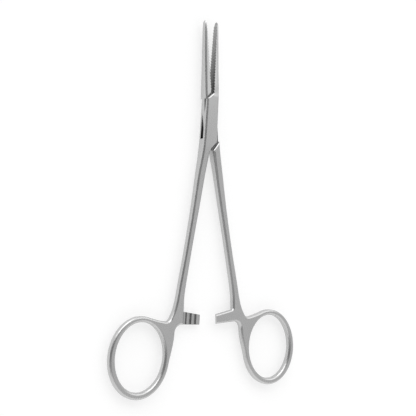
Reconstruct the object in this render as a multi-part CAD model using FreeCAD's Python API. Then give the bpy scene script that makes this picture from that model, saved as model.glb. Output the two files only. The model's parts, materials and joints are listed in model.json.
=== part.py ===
import FreeCAD, Part

import math
import os

from FreeCAD import Vector

# Hemostat forceps with a box lock, 14 cm pattern. Millimetres, +Z up.
# The instrument lies on its back: the arms are in the XY plane and the jaws point to +Y.
# Origin: the pivot's axis where it leaves the back face of the box.
#
# Each half is drawn in its closed position about the middle plane, with the jaws meeting on
# x = 0, and is then turned about the pivot to the half-open pose of the photograph.
# The box half has its jaw on the right and its ring on the left. The tongue half crosses it
# and is the mirror image of the box half outside the lock.

# lock
THICK = 4.6            # front to back over the box
OPEN_HALF = 3.5        # degrees that each half is turned out from closed
SLOT = 1.80            # space between the two plates of the box
TONGUE = 1.74          # thickness of the tongue that runs in it
PIN_R = 1.1
PIN_PLAY = 0.03        # radial play between the pin and the tongue
ARM_SIDE = 2.95        # from the centre line to the lock's edge on the side of the own ring
JAW_SIDE = 2.45        # the same on the side of the own jaw, at the jaw's root
LOW_SIDE = 2.85        # and at the lowest corner
JAW_ROOT = 9.3
TOP_PATH = [(0.0, 10.5), (-2.05, 8.55), (-ARM_SIDE, 8.05)]          # top edge of the plates
LOW_PATH = [(LOW_SIDE, -8.0), (0.8, -10.45), (-0.05, -11.3)]        # bottom edge of the plates
WALL_SIDE = 7.2        # end wall of the slot where it meets the side
WALL_MID = 9.2         # and where it meets the centre line
WALL_GAP = 0.12        # between an end wall and the tongue when closed
SHOULDER_GAP = 0.08    # between a shoulder and the plate that it meets when closed
SHOULDER_BREAK = 0.35  # leg of the broken edges along the shoulders, front and back

# jaws: station, width from the meeting face, half thickness, rounding of the outer corners
# across and in thickness
JAW_STATIONS = [
    (7.3, 2.45, 2.26, 0.90, 0.90),
    (JAW_ROOT, 2.45, 2.25, 0.90, 0.90),
    (12.5, 2.35, 2.12, 0.95, 0.95),
    (16.5, 2.12, 1.94, 0.98, 0.98),
    (21.0, 1.87, 1.74, 0.98, 0.98),
    (27.0, 1.52, 1.56, 0.95, 0.96),
    (32.0, 1.18, 1.42, 0.86, 0.92),
    (35.5, 0.95, 1.29, 0.76, 0.86),
    (37.3, 0.79, 1.08, 0.66, 0.80),
    (38.1, 0.58, 0.84, 0.50, 0.68),
    (38.45, 0.30, 0.46, 0.26, 0.40),
]
TOOTH_PITCH = 1.1
TOOTH_DEPTH = 0.30
TOOTH_START = 11.4
TOOTH_COUNT = 24
JAW_GAP = 0.04         # between the teeth of the closed jaws
JAW_RELIEF = 10.7      # from here on the meeting face is set back to the depth of the teeth

# shank: stations and distance from the closed centre line, down the outer edge, up the inner
OUTER_EDGE = [(-4.0, ARM_SIDE), (-8.0, 3.02), (-13.0, 3.36), (-19.0, 4.08), (-30.0, 5.10),
              (-41.5, 6.30), (-53.0, 7.70), (-64.0, 9.22), (-70.0, 10.12), (-72.4, 10.78)]
INNER_EDGE = [(-71.45, 6.45), (-68.0, 6.55), (-62.0, 6.12), (-52.8, 5.06), (-41.5, 3.66),
              (-30.0, 2.20), (-19.0, 0.93)]
NECK = (-0.17, -12.4)  # where the inner edge reaches the corner of the plates
SHANK_ROUND = 0.90     # radius on the long edges

# half thickness of the forging along the instrument
THICK_STATIONS = [(-9.0, 2.30), (-13.0, 2.16), (-19.0, 1.83), (-30.0, 1.60), (-42.0, 1.50),
                  (-60.0, 1.45), (-80.0, 1.42), (-106.0, 1.40)]

# finger ring: an oval hole in a band, forked from the shank
RING_X = -23.05
RING_Y = -88.65
HOLE_A = 9.7           # half of the hole across
HOLE_B = 12.4          # half of the hole along the arm
BAND_OUT = 2.35        # width of the band away from the other ring
BAND_IN = 2.15         # towards it
BAND_TOP = 2.12        # towards the lock
BAND_LOW = 2.52        # and at the far end
HOLE_ROUND = 1.0
VALLEY = (-13.6, -73.95)
VALLEY_R = 1.95        # concave corner between the ring and the shank
VALLEY_START = -25     # degrees about its centre
VALLEY_END = -97
ARMPIT = (-6.8, -79.9)
ARMPIT_R = 2.9         # concave corner between the ring and the ratchet
LEAVE_RING = 77.0      # degrees on the oval where the outline leaves it for the shank
JOIN_RING = 350.0      # and where it comes back to it from the ratchet

# ratchet: a bar of half thickness beside the shank, with hooked ridges
RATCHET_SLOPE = 8.0    # degrees that the upper edge falls to the tip
RATCHET_LOW = -77.0
RATCHET_TIP = 1.45
ROOT_R = 0.9           # concave corner between the bar and the shank
RATCHET_GAP = 0.04     # from the crests to the middle plane
RIDGE_HEIGHT = 0.55
RIDGE_PITCH = 2.1
RIDGE_FIRST = 1.75     # first crest, from the tip
RIDGE_FACE = 0.12      # lean of a ridge's steep face, which looks to the own shank
RIDGE_LAND = 0.28      # flat width of a crest
RIDGE_COUNT = 3
# upright wall where the bar leaves the full thickness, with a broken corner
ROOT_WALL = [(-6.30, 0.2), (-6.50, 0.95), (-6.85, 1.33), (-7.35, 1.60)]

ROUND_PULL = 0.5523    # makes a quarter of an oval out of one Bezier curve
# ovals as their centre and half axes
HOLE = (RING_X, RING_Y, HOLE_A, HOLE_B)
RING = (RING_X - (BAND_OUT - BAND_IN) / 2, RING_Y - (BAND_LOW - BAND_TOP) / 2,
        HOLE_A + (BAND_OUT + BAND_IN) / 2, HOLE_B + (BAND_LOW + BAND_TOP) / 2)
MID = THICK / 2
FAR = 60.0
CENTRE = Vector(0, 0, 0)
ACROSS = Vector(1, 0, 0)
UPRIGHT = Vector(0, 0, 1)
TO_JAW = Vector(0, 1, 0)
TO_RING = Vector(0, -1, 0)


def flat(x, y):
    return Vector(x, y, 0)


def heading(degrees):
    a = math.radians(degrees)
    return Vector(math.cos(a), math.sin(a), 0)


def line(a, b):
    return Part.makeLine(a, b)


def curve(points, start, end):
    """Smooth edge through points, leaving along start and arriving along end."""
    spline = Part.BSplineCurve()
    spline.interpolate(Points=points, InitialTangent=start, FinalTangent=end)
    return spline.toShape()


def arc(centre, radius, start, end):
    """Circular edge about centre, from one angle in degrees to the other."""
    through = [centre + heading(a) * radius for a in (start, (start + end) / 2, end)]
    return Part.Arc(*through).toShape()


def oval_arc(oval, start, end):
    """Edge of an upright oval, its angles in degrees from +X."""
    x, y, a, b = oval
    ellipse = Part.Ellipse(flat(x, y + b), flat(x - a, y), flat(x, y))
    return Part.ArcOfEllipse(ellipse, math.radians(start - 90), math.radians(end - 90)).toShape()


def oval_point(oval, angle):
    x, y, a, b = oval
    turn = heading(angle)
    return flat(x + a * turn.x, y + b * turn.y)


def oval_heading(oval, angle):
    x, y, a, b = oval
    turn = heading(angle)
    return Vector(-a * turn.y, b * turn.x, 0).normalize()


def polyline(points):
    return [line(a, b) for a, b in zip(points, points[1:])]


def slab(edges, low, high):
    """Solid between two levels over a closed outline."""
    face = Part.Face(Part.Wire(Part.__sortEdges__(edges)))
    face.translate(UPRIGHT * low)
    return face.extrude(UPRIGHT * (high - low))


def plate(corners, low, high):
    """Solid between two levels over a polygon."""
    points = [flat(x, y) for x, y in corners]
    return slab(polyline(points + points[:1]), low, high)


def mirrored(shape):
    return shape.mirror(CENTRE, ACROSS)


def ring_outline():
    """Edges from the shank's outer edge round the ring to the ratchet's lower edge."""
    valley = flat(*VALLEY)
    armpit = flat(*ARMPIT)
    top = [valley + heading(VALLEY_END) * VALLEY_R, oval_point(RING, LEAVE_RING)]
    side = [oval_point(RING, JOIN_RING), armpit - ACROSS * ARMPIT_R]
    return [
        arc(valley, VALLEY_R, VALLEY_START, VALLEY_END),
        curve(top, heading(VALLEY_END - 90) * 6, oval_heading(RING, LEAVE_RING) * 6),
        oval_arc(RING, LEAVE_RING, JOIN_RING),
        curve(side, oval_heading(RING, JOIN_RING) * 8, TO_JAW * 8),
        arc(armpit, ARMPIT_R, 180, 90),
    ]


def half_outline():
    """Closed outline of the lock, shank and ring of the box half."""
    outer = [flat(-x, y) for y, x in OUTER_EDGE]
    inner = [flat(-x, y) for y, x in INNER_EDGE]
    valley_start = flat(*VALLEY) + heading(VALLEY_START) * VALLEY_R
    armpit_end = flat(*ARMPIT) + TO_JAW * ARMPIT_R
    root = inner[0] + ACROSS * ROOT_R
    bar_top = root + heading(270 - RATCHET_SLOPE) * ROOT_R
    drop = (RATCHET_TIP - bar_top.x) * math.tan(math.radians(RATCHET_SLOPE))
    top = [flat(x, y) for x, y in TOP_PATH]
    low = [flat(x, y) for x, y in LOW_PATH]
    bar = [armpit_end, flat(RATCHET_TIP, RATCHET_LOW), flat(RATCHET_TIP, bar_top.y - drop), bar_top]
    lock = [flat(*NECK)] + low[::-1] + [flat(JAW_SIDE, JAW_ROOT), flat(0, JAW_ROOT)] + top + outer[:1]
    edges = [curve(outer + [valley_start], TO_RING, heading(VALLEY_START - 90))]
    edges += ring_outline()
    edges += polyline(bar)
    edges.append(arc(root, ROOT_R, 270 - RATCHET_SLOPE, 180))
    edges.append(curve(inner + [flat(*NECK)], TO_JAW, (low[-1] - flat(*NECK)).normalize()))
    edges += polyline(lock)
    return edges


def thickness_profile():
    """Solid band whose front and back follow the thickness along the instrument."""
    front = [Vector(0, y, z) for y, z in THICK_STATIONS]
    back = [Vector(0, p.y, -p.z) for p in reversed(front)]
    top = Vector(0, JAW_ROOT + 5, MID)
    bottom = Vector(0, JAW_ROOT + 5, -MID)
    edges = [line(top, front[0]), curve(front, TO_RING, TO_RING), line(front[-1], back[0]),
             curve(back, TO_JAW, TO_JAW), line(back[-1], bottom), line(bottom, top)]
    face = Part.Face(Part.Wire(edges))
    face.translate(ACROSS * -FAR)
    return face.extrude(ACROSS * (2 * FAR))


def edge_middle(edge):
    return edge.valueAt((edge.FirstParameter + edge.LastParameter) / 2)


def on_rim(edge):
    """Whether an edge follows the rim of the finger hole."""
    p = edge_middle(edge)
    reach = ((p.x - RING_X) / HOLE_A) ** 2 + ((p.y - RING_Y) / HOLE_B) ** 2
    return abs(reach - 1) < 0.01


def is_long_edge(edge):
    """Whether an edge bounds the front or back and isn't a shoulder of the lock."""
    ends = [v.Point for v in edge.Vertexes]
    middle = edge_middle(edge)
    upright = abs(ends[0].z - ends[-1].z) > 1.0
    crease = all(abs(p.y - THICK_STATIONS[0][0]) < 1e-6 for p in ends)
    shoulder = middle.y > LOW_PATH[-1][1] - 0.01 and -ARM_SIDE + 0.01 < middle.x < JAW_SIDE - 0.01
    bar_tip = abs(middle.x - RATCHET_TIP) < 0.01
    return not (upright or crease or shoulder or bar_tip or on_rim(edge))


def ratchet_front():
    """What the ratchet's bar lacks of the full thickness, down to the saw line of its ridges.

    The ridges slope towards the tip and their steep faces look to the own shank.
    """
    crest = -RATCHET_GAP
    floor = crest - RIDGE_HEIGHT
    low = RATCHET_LOW - 2
    section = ROOT_WALL[::-1] + [(ROOT_WALL[0][0], floor)]
    for i in reversed(range(RIDGE_COUNT)):
        ridge = RATCHET_TIP - RIDGE_FIRST - i * RIDGE_PITCH
        section += [(ridge - RIDGE_FACE, floor), (ridge, crest), (ridge + RIDGE_LAND, crest)]
    fall = RIDGE_HEIGHT / (RIDGE_PITCH - RIDGE_FACE - RIDGE_LAND)
    section += [(RATCHET_TIP + 1, crest - (RIDGE_FIRST + 1 - RIDGE_LAND) * fall),
                (RATCHET_TIP + 1, MID), (ROOT_WALL[-1][0], MID)]
    points = [Vector(x, low, z) for x, z in section]
    return Part.Face(Part.makePolygon(points + points[:1])).extrude(TO_JAW * (INNER_EDGE[0][0] - low))


def forging():
    """Lock, shank, ring and ratchet of the box half, with rounded edges."""
    blank = slab(half_outline(), -MID - 1, MID + 1).common(thickness_profile())
    rim = [oval_arc(HOLE, 0, 180), oval_arc(HOLE, 180, 360)]
    blank = blank.cut(slab(rim, -FAR, FAR)).Solids[0]
    blank = blank.makeFillet(SHANK_ROUND, [e for e in blank.Edges if is_long_edge(e)]).Solids[0]
    rim_edges = [e for e in blank.Edges if on_rim(e) and abs(edge_middle(e).z) > 1.0]
    return blank.makeFillet(HOLE_ROUND, rim_edges).Solids[0].cut(ratchet_front())


def quarter(start, corner, end):
    """Quarter of an oval from start to end, with its tangents meeting in the corner."""
    bezier = Part.BezierCurve()
    bezier.setPoles([start, start + (corner - start) * ROUND_PULL, end + (corner - end) * ROUND_PULL, end])
    return bezier.toShape()


def jaw_section(y, width, half, across, deep):
    """Wire across the jaw with rounded outer corners, closed past the centre line."""
    inner = -0.6
    return Part.Wire([
        line(Vector(inner, y, -half), Vector(width - across, y, -half)),
        quarter(Vector(width - across, y, -half), Vector(width, y, -half), Vector(width, y, deep - half)),
        line(Vector(width, y, deep - half), Vector(width, y, half - deep)),
        quarter(Vector(width, y, half - deep), Vector(width, y, half), Vector(width - across, y, half)),
        line(Vector(width - across, y, half), Vector(inner, y, half)),
        line(Vector(inner, y, half), Vector(inner, y, -half)),
    ])


def jaw(stations, phase):
    """Tapered jaw on the right of the centre line, with cross serrations.

    The other jaw has a phase of half a pitch more, so that crests meet troughs.
    """
    body = Part.makeLoft([jaw_section(*s) for s in stations], True, False)
    low = stations[0][0] - 1
    high = stations[-1][0] + 1
    face = JAW_GAP / 2
    start = TOOTH_START + phase * TOOTH_PITCH
    trough = face + TOOTH_DEPTH / 2
    other_side = [(-2, low), (face, low), (face, JAW_RELIEF), (trough, JAW_RELIEF)]
    other_side.append((trough, start - TOOTH_PITCH / 2))
    for i in range(TOOTH_COUNT):
        crest = start + i * TOOTH_PITCH
        other_side.append((trough - TOOTH_DEPTH, crest))
        other_side.append((trough, crest + TOOTH_PITCH / 2))
    other_side += [(trough, high), (-2, high)]
    return body.cut(plate(other_side, -FAR, FAR))


def slot():
    """Space for the tongue: open at both sides of the box, with a slanted wall at each end."""
    out = ARM_SIDE + 4
    far = NECK[1] - 0.5
    lower = [(-out, -WALL_SIDE), (-ARM_SIDE, -WALL_SIDE), (-0.15, -WALL_MID), (-0.15, far), (out, far)]
    upper = [(-x, -y) for x, y in lower]
    return plate(lower + upper, -SLOT / 2, SLOT / 2)


def tongue():
    """Middle layer of the tongue half, from its shank through the box to its jaw."""
    reach = WALL_SIDE - WALL_GAP
    mid = WALL_MID - WALL_GAP
    corners = [(-LOW_SIDE, -reach), (-0.03, -mid), (-0.03, LOW_PATH[-1][1]),
               (1.5, LOW_PATH[-1][1] - 0.5), (ARM_SIDE, LOW_PATH[0][1] - 1.0),
               (ARM_SIDE, reach), (0.03, mid), (-JAW_GAP / 2, TOP_PATH[0][1] + 0.4),
               (-1.5, TOP_PATH[0][1] + 0.4), (-JAW_SIDE, JAW_ROOT)]
    return plate(corners, -TONGUE / 2, TONGUE / 2)


def shoulder(path, gap, far_side):
    """Slab past a shoulder: the path moved off by a gap, lengthened and closed on the far side."""
    first = Vector(*path[0], 0)
    step = (first - Vector(*path[1], 0)) * 4
    start = (first.x + step.x, first.y + step.y)
    moved = [(x + gap[0], y + gap[1]) for x, y in [start] + path[1:]]
    return plate(moved + far_side, -FAR, FAR)


def groove(path, side):
    """V-groove along a path of points, cut into the front or, with side -1, into the back."""
    past = 0.5
    points = [flat(x, y) for x, y in path]
    points[0] += (points[0] - points[1]).normalize() * 2
    normals = [(b - a).normalize().cross(UPRIGHT) for a, b in zip(points, points[1:])]
    sections = []
    for point, before, after in zip(points, normals[:1] + normals, normals + normals[-1:]):
        middle = (before + after).normalize()
        across = middle * ((SHOULDER_BREAK + past) / middle.dot(after))
        root = point + UPRIGHT * (side * (MID - SHOULDER_BREAK))
        top = point + UPRIGHT * (side * (MID + past))
        sections.append(Part.makePolygon([root, top + across, top - across, root]))
    return Part.makeLoft(sections, True, True)


def shoulder_breaks():
    """Grooves along both shoulders, front and back, that break the edges of both halves."""
    return [groove(path, side) for path in (TOP_PATH[::-1], LOW_PATH) for side in (1, -1)]


def bore(radius):
    hole = Part.makeCylinder(radius, THICK + 2)
    hole.translate(UPRIGHT * (-MID - 1))
    return hole


def box_half():
    """Half with the slotted box: right jaw, left ring and the rear bar of the ratchet."""
    half = forging().fuse(jaw(JAW_STATIONS[1:], 0.0))
    return half.cut(slot()).cut([bore(PIN_R)] + shoulder_breaks()).removeSplitter()


def tongue_half():
    """Half that passes through the box: left jaw, right ring and the front bar of the ratchet."""
    off = SHOULDER_GAP * math.sqrt(0.5)
    below = shoulder(LOW_PATH, (off, -off), [(-FAR, LOW_PATH[-1][1]), (-FAR, -2 * FAR), (FAR, -2 * FAR)])
    above = shoulder(TOP_PATH, (-off, off), [(-FAR, TOP_PATH[-1][1]), (-FAR, FAR), (FAR, FAR)])
    arm = mirrored(forging().mirror(CENTRE, UPRIGHT)).common(below)
    top = mirrored(jaw(JAW_STATIONS, 0.5)).common(above)
    half = arm.fuse(tongue()).fuse(top)
    return half.cut([bore(PIN_R + PIN_PLAY)] + shoulder_breaks()).removeSplitter()


def pivot_pin():
    pin = Part.makeCylinder(PIN_R, THICK)
    pin.translate(UPRIGHT * -MID)
    return pin


def placed(shape, degrees):
    """The shape turned about the pivot and lifted until the box's back lies on z = 0."""
    copy = shape.copy()
    copy.rotate(CENTRE, UPRIGHT, degrees)
    copy.translate(UPRIGHT * MID)
    return copy


def main():
    os.makedirs("parts", exist_ok=True)
    nodes = {
        "box_half": placed(box_half(), -OPEN_HALF),
        "tongue_half": placed(tongue_half(), OPEN_HALF),
        "pivot_pin": placed(pivot_pin(), -OPEN_HALF),
    }
    for name, shape in nodes.items():
        shape.exportStep(f"parts/{name}.step")
        print(name, shape.isValid(), len(shape.Solids), round(shape.Volume, 1), shape.BoundBox)


main()
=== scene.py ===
import json
import math

import bmesh
import bpy
from mathutils import Matrix, Vector

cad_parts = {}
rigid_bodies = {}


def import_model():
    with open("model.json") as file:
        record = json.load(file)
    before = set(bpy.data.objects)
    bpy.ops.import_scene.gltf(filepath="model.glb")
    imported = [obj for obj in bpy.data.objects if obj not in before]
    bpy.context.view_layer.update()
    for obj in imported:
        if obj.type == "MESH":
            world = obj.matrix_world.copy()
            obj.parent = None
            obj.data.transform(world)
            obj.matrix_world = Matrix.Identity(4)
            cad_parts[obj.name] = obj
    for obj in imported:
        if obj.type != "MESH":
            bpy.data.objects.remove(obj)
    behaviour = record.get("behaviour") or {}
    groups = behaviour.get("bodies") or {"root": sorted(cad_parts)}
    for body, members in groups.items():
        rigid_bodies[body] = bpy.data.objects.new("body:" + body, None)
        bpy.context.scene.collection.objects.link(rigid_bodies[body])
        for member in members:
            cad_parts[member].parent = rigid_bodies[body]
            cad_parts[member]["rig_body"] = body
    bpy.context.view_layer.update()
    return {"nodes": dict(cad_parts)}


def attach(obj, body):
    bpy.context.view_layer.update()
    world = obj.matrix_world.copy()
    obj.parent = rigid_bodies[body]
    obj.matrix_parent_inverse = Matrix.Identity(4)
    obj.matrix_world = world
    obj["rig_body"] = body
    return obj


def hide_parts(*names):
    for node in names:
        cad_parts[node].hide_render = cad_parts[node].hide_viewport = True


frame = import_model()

MM = 0.001
MID = 2.3 * MM                       # height of the instrument's middle plane
HALF_OPEN = math.radians(3.5)        # what each half is turned out from its closed position
TURN = {"box_half": -HALF_OPEN, "tongue_half": HALF_OPEN}
SIDE = {"box_half": -1, "tongue_half": 1}      # side of a half's own ring
FRONT = {"box_half": -1, "tongue_half": 1}     # where the ratchet's bar lies from the middle plane

# meshes of the forgings
WELD = 0.001 * MM                    # corners closer than this are one
FLAT_WITHIN = math.radians(0.2)      # faces that turn by less than this are merged
CREASE = math.radians(28)            # edges that turn by more than this stay sharp

# steel: greys of the metal and how rough it is
BARE_STEEL = (0.51, 0.58)
TEETH_TONE_AND_SHADE = (0.20, 0.40)                 # at the root of the jaw and at its tip: a darker finish with painted shade, deepest at the root
# painted shade in the ratchet's hollows, a little darker than the bare steel
HOLLOW_PAINTED_SHADE = 0.50
# painted shade: the slot's plates and the tongue's sides inside the lock are painted near black
LOCK_PAINTED_SHADE = {"box_half": 0.07, "tongue_half": 0.18}
ROUGH = 0.22
ROUGH_CLOUD = 0.05
ROUGH_BRUSHING = 0.06
ROUGH_TEETH = 0.2

# and its texture: how many marks there are to a metre
BRUSHING = (6000, 500, 6000)         # across, along and in height
GRAIN = 4500.0
CLOUD = 130.0
CLOUD_SHARE = 0.7                    # of the colour's unevenness, with brushing for the rest
BRUSHING_SHARE = 0.6                 # of the relief, with grain for the rest
FINE_DETAIL = 2.0
CLOUD_DETAIL = 3.0
RELIEF = 0.01 * MM                   # height of the brushed grain
RELIEF_STRENGTH = 0.2

# Places on a half in its closed position, where the jaws meet on x = 0 and point to +Y. Two figures
# are where a place starts to fade in and where it is whole. Three are its two ends and the width
# over which it fades outside them. Facing is how squarely a surface looks along the axis named.
TOOTHED_OFF = (0.45 * MM, 0.36 * MM)           # from x = 0
TOOTHED_START = (10.4 * MM, 10.8 * MM)
TOOTHED_FACING = (0.6, 0.75)                   # across
TEETH_SHADE = (8 * MM, 36 * MM)                # length over which the teeth get lighter as their painted shade fades

PLATES = (0.86 * MM, 0.91 * MM, 0.02 * MM)     # lock's inner faces, from the middle plane
PLATES_LENGTH = (-13.5 * MM, 11.5 * MM, 0.5 * MM)
PLATES_FACING = (0.6, 0.8)                     # up or down
TONGUE_SIDE = (-1.9 * MM, -1.6 * MM)           # beyond this the tongue half stands out of the lock

RIDGES_ACROSS = (0.5 * MM, 6.5 * MM, 0.1 * MM)
RIDGES_DEPTH = (0.06 * MM, 0.62 * MM, 0.05 * MM)       # from the middle plane
RIDGES_LENGTH = (-77.2 * MM, -71.4 * MM, 0.1 * MM)
RIDGES_FACING = (0.7, 0.5)                     # along, which the bar's own edges do

# camera: it sees the instrument from the left of its front, from about twice its length
CAMERA_YAW = math.radians(32.0)
CAMERA_TILT = math.radians(2.48)
CAMERA_ROLL = math.radians(0.6)
CAMERA_AIM = Vector((-0.28, -33.16, 2.3)) * MM
CAMERA_DISTANCE = 272.7 * MM
CAMERA_NEAR = 0.01
PICTURE = 416
FOCAL_PIXELS = 720.0
SENSOR = 36.0

# floor
FLOOR_HALF = 3.0
FLOOR_GREY = 0.46
FLOOR_ROUGH = 0.9
FLOOR_GLOW = 0.60

# cards of the studio from the left horizon over the top to the right one: place and brightness
CARDS = [(0.0, 0.25), (0.44, 0.25), (0.55, 0.44), (0.67, 0.70), (0.80, 0.70), (1.0, 0.66)]


class Value:
    """A number, colour or vector in a node tree that takes part in plain arithmetic."""

    def __init__(self, tree, socket):
        self.tree = tree
        self.socket = socket

    def math(self, operation, *others):
        return node(self.tree, "Math", {"operation": operation}, [self, *others])

    def __add__(self, other):
        return self.math("ADD", other)

    def __mul__(self, other):
        return self.math("MULTIPLY", other)

    def __sub__(self, other):
        return self.math("SUBTRACT", other)

    def __rsub__(self, other):
        return node(self.tree, "Math", {"operation": "SUBTRACT"}, [other, self])

    def __abs__(self):
        return self.math("ABSOLUTE")

    __radd__ = __add__
    __rmul__ = __mul__

    def step(self, low, high):
        """0 below low, 1 above high and smooth between, or the other way round where high is less."""
        settings = {"interpolation_type": "SMOOTHSTEP"}
        if low < high:
            return node(self.tree, "MapRange", settings, {"Value": self, "From Min": low, "From Max": high})
        return 1 - node(self.tree, "MapRange", settings, {"Value": self, "From Min": high, "From Max": low})

    def within(self, low, high, soft):
        """1 between two limits, falling to 0 over a soft width outside each."""
        return self.step(low - soft, low) * self.step(high + soft, high)


def node(tree, kind, settings=None, values=None, output=0):
    """Adds a node with its settings and its sockets' values or links, and gives one of its outputs.

    Values are given by the sockets' names or numbers, or as a list in their order. The setting
    stops, a list of places and brightnesses, fills a colour ramp.
    """
    made = tree.nodes.new("ShaderNode" + kind)
    for name, setting in (settings or {}).items():
        if name == "stops":
            fill_ramp(made.color_ramp.elements, setting)
        else:
            setattr(made, name, setting)
    pairs = values.items() if isinstance(values, dict) else enumerate(values or [])
    for name, value in pairs:
        if isinstance(value, Value):
            tree.links.new(value.socket, made.inputs[name])
        else:
            made.inputs[name].default_value = value
    return Value(tree, made.outputs[output]) if len(made.outputs) else None


def fill_ramp(elements, stops):
    for place, _ in stops[len(elements):]:
        elements.new(place)
    for element, (place, level) in zip(elements, stops):
        element.position = place
        element.color = grey(level)


def mix(tree, factor, first, second):
    """Colour between two others."""
    return node(tree, "Mix", {"data_type": "RGBA"}, {0: factor, 6: first, 7: second}, output=2)


def split(tree, vector):
    return [node(tree, "SeparateXYZ", None, [vector], output=i) for i in range(3)]


def generated(tree):
    """Direction, on the world."""
    return node(tree, "TexCoord", output=0)


def own_normal(tree):
    return node(tree, "TexCoord", output=1)


def own_place(tree):
    return node(tree, "TexCoord", output=3)


def noise(tree, vector, scale, detail):
    return node(tree, "TexNoise", None, {"Vector": vector, "Scale": scale, "Detail": detail})


def grey(level):
    return (level, level, level, 1.0)


def new_material(name):
    material = bpy.data.materials.new(name)
    material.use_nodes = True
    material.node_tree.nodes.clear()
    return material, material.node_tree


def link(item):
    bpy.context.scene.collection.objects.link(item)


def satin_steel(name, half=None):
    """Satin stainless steel with fine lengthwise brushing.

    On a half: painted shade inside the lock and in the ratchet's hollows, a darker finish and painted shade
    on the teeth.
    """
    material, tree = new_material(name)
    turn = (0, 0, TURN.get(half, 0.0))
    along = node(tree, "Mapping", {"vector_type": "TEXTURE"}, {"Vector": own_place(tree), "Rotation": turn})
    stretched = node(tree, "Mapping", None, {"Vector": along, "Scale": BRUSHING})
    brushing = noise(tree, stretched, 1.0, FINE_DETAIL)
    grain = noise(tree, along, GRAIN, FINE_DETAIL)
    cloud = noise(tree, along, CLOUD, CLOUD_DETAIL)
    unevenness = cloud * CLOUD_SHARE + brushing * (1 - CLOUD_SHARE)
    colour = mix(tree, unevenness, *map(grey, BARE_STEEL))
    rough = ROUGH + cloud * ROUGH_CLOUD + brushing * ROUGH_BRUSHING
    if half:
        x, y, z = split(tree, along)
        facing = split(tree, own_normal(tree))
        toothed = tooth_face(x, y, facing)
        # teeth: a darker finish with painted shade that fades from the root toward the tip
        teeth = mix(tree, y.step(*TEETH_SHADE), *map(grey, TEETH_TONE_AND_SHADE))
        # painted shade in the ratchet's hollows
        colour = mix(tree, ratchet_hollow_shade(half, x, y, z, facing), colour, grey(HOLLOW_PAINTED_SHADE))
        # painted shade inside the lock
        colour = mix(tree, lock_painted_shade(half, x, y, z, facing), colour, grey(LOCK_PAINTED_SHADE[half]))
        colour = mix(tree, toothed, colour, teeth)
        rough = rough + toothed * ROUGH_TEETH
    height = brushing * BRUSHING_SHARE + grain * (1 - BRUSHING_SHARE)
    relief = node(tree, "Bump", None, {"Strength": RELIEF_STRENGTH, "Distance": RELIEF, "Height": height})
    surface = node(tree, "BsdfPrincipled", None, {
        "Base Color": colour, "Metallic": 1.0, "Roughness": rough, "Normal": relief})
    node(tree, "OutputMaterial", None, [surface])
    return material


def tooth_face(x, y, facing):
    """Where the jaw's serrated face is."""
    return abs(x).step(*TOOTHED_OFF) * y.step(*TOOTHED_START) * abs(facing[0]).step(*TOOTHED_FACING)


def lock_painted_shade(half, x, y, z, facing):
    """Where the slot's plates and the tongue's flat sides take painted shade, less what stands out of the
    lock.
    """
    found = abs(z - MID).within(*PLATES) * abs(facing[2]).step(*PLATES_FACING) * y.within(*PLATES_LENGTH)
    if half == "tongue_half":
        found = found * x.step(*TONGUE_SIDE)
    return found


def ratchet_hollow_shade(half, x, y, z, facing):
    """Where the hollows between the ratchet's ridges take painted shade, less the slope at the tip."""
    across = (x * SIDE[half]).within(*RIDGES_ACROSS)
    depth = ((z - MID) * FRONT[half]).within(*RIDGES_DEPTH)
    return across * depth * y.within(*RIDGES_LENGTH) * abs(facing[1]).step(*RIDGES_FACING)


def add_camera():
    """Camera on a line from the aim, turned to the left by the yaw, lowered by the tilt and rolled."""
    back = Vector((-math.sin(CAMERA_YAW) * math.cos(CAMERA_TILT), -math.sin(CAMERA_TILT),
                   math.cos(CAMERA_YAW) * math.cos(CAMERA_TILT)))
    level = Vector((math.cos(CAMERA_YAW), 0, math.sin(CAMERA_YAW)))
    right = level * math.cos(CAMERA_ROLL) + back.cross(level) * math.sin(CAMERA_ROLL)
    data = bpy.data.cameras.new("camera")
    data.sensor_width = SENSOR
    data.lens = FOCAL_PIXELS / PICTURE * SENSOR
    data.clip_start = CAMERA_NEAR
    camera = bpy.data.objects.new("camera", data)
    turn = Matrix((right, back.cross(right), back)).transposed().to_4x4()
    camera.matrix_world = Matrix.Translation(CAMERA_AIM + back * CAMERA_DISTANCE) @ turn
    link(camera)
    bpy.context.scene.camera = camera


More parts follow.
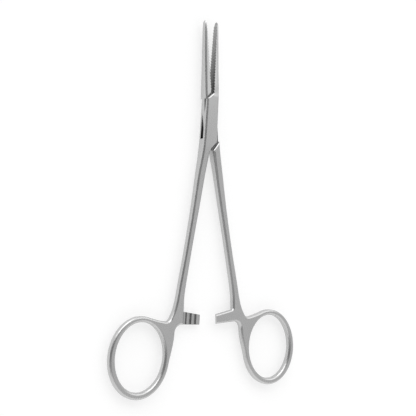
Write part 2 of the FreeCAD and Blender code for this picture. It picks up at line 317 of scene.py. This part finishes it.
def add_studio():
    """Grey card on the right, a darker one on the left, bright ends and two lamps past the jaws.

    Each is a range of directions, given by the parts of a unit vector along the axes.
    """
    world = bpy.data.worlds.new("studio")
    world.use_nodes = True
    bpy.context.scene.world = world
    tree = world.node_tree
    tree.nodes.clear()
    x, y, z = split(tree, generated(tree))
    light = node(tree, "ValToRGB", {"stops": CARDS}, [x * 0.5 + 0.5])
    near_left = y.step(-0.02, -0.28) * x.step(0.3, 0.1)
    ends = abs(y).step(0.32, 0.62)
    high_lamp = y.step(0.18, 0.5) * z.step(0.35, 0.55) * x.step(0.15, 0.4)
    low_lamp = y.step(0.5, 0.65) * x.step(0.15, 0.0) * z.step(0.0, 0.15)
    for place, level in [(near_left, 0.45), (ends, 1.1), (high_lamp, 1.8), (low_lamp, 2.4)]:
        light = mix(tree, place, light, grey(level))
    background = node(tree, "Background", None, [light, 1.0])
    node(tree, "OutputWorld", None, [background])


def add_floor():
    """Plain white floor that glows softly, as a light table does."""
    material, tree = new_material("pale_floor")
    surface = node(tree, "BsdfPrincipled", None, {
        "Base Color": grey(FLOOR_GREY), "Roughness": FLOOR_ROUGH, "Specular IOR Level": 0.0,
        "Emission Color": grey(1.0), "Emission Strength": FLOOR_GLOW})
    node(tree, "OutputMaterial", None, [surface])
    mesh = bpy.data.meshes.new("floor")
    corners = [(-1, -1), (1, -1), (1, 1), (-1, 1)]
    mesh.from_pydata([(x * FLOOR_HALF, y * FLOOR_HALF, 0) for x, y in corners], [], [(0, 1, 2, 3)])
    mesh.materials.append(material)
    floor = bpy.data.objects.new("floor", mesh)
    link(floor)


def dress_forging(name):
    """A merged copy of a forging's solid with flat faces, smooth roundings and crisp edges."""
    source = frame["nodes"][name]
    mesh = source.data.copy()
    work = bmesh.new()
    work.from_mesh(mesh)
    bmesh.ops.remove_doubles(work, verts=work.verts, dist=WELD)
    bmesh.ops.dissolve_limit(work, angle_limit=FLAT_WITHIN, verts=work.verts, edges=work.edges)
    for face in work.faces:
        face.smooth = True
    for edge in work.edges:
        edge.smooth = not edge.is_manifold or edge.calc_face_angle() < CREASE
    work.to_mesh(mesh)
    work.free()
    mesh.materials.clear()
    mesh.materials.append(satin_steel(name + "_steel", name))
    piece = bpy.data.objects.new(name + "_forging", mesh)
    link(piece)
    even = piece.modifiers.new("even_shading", "WEIGHTED_NORMAL")
    even.keep_sharp = True
    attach(piece, source["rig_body"])
    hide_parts(name)


add_camera()
add_studio()
add_floor()
for name in TURN:
    dress_forging(name)
pin = frame["nodes"]["pivot_pin"]
pin.data.materials.clear()
pin.data.materials.append(satin_steel("pin_steel"))
bpy.context.scene.view_settings.view_transform = "Standard"
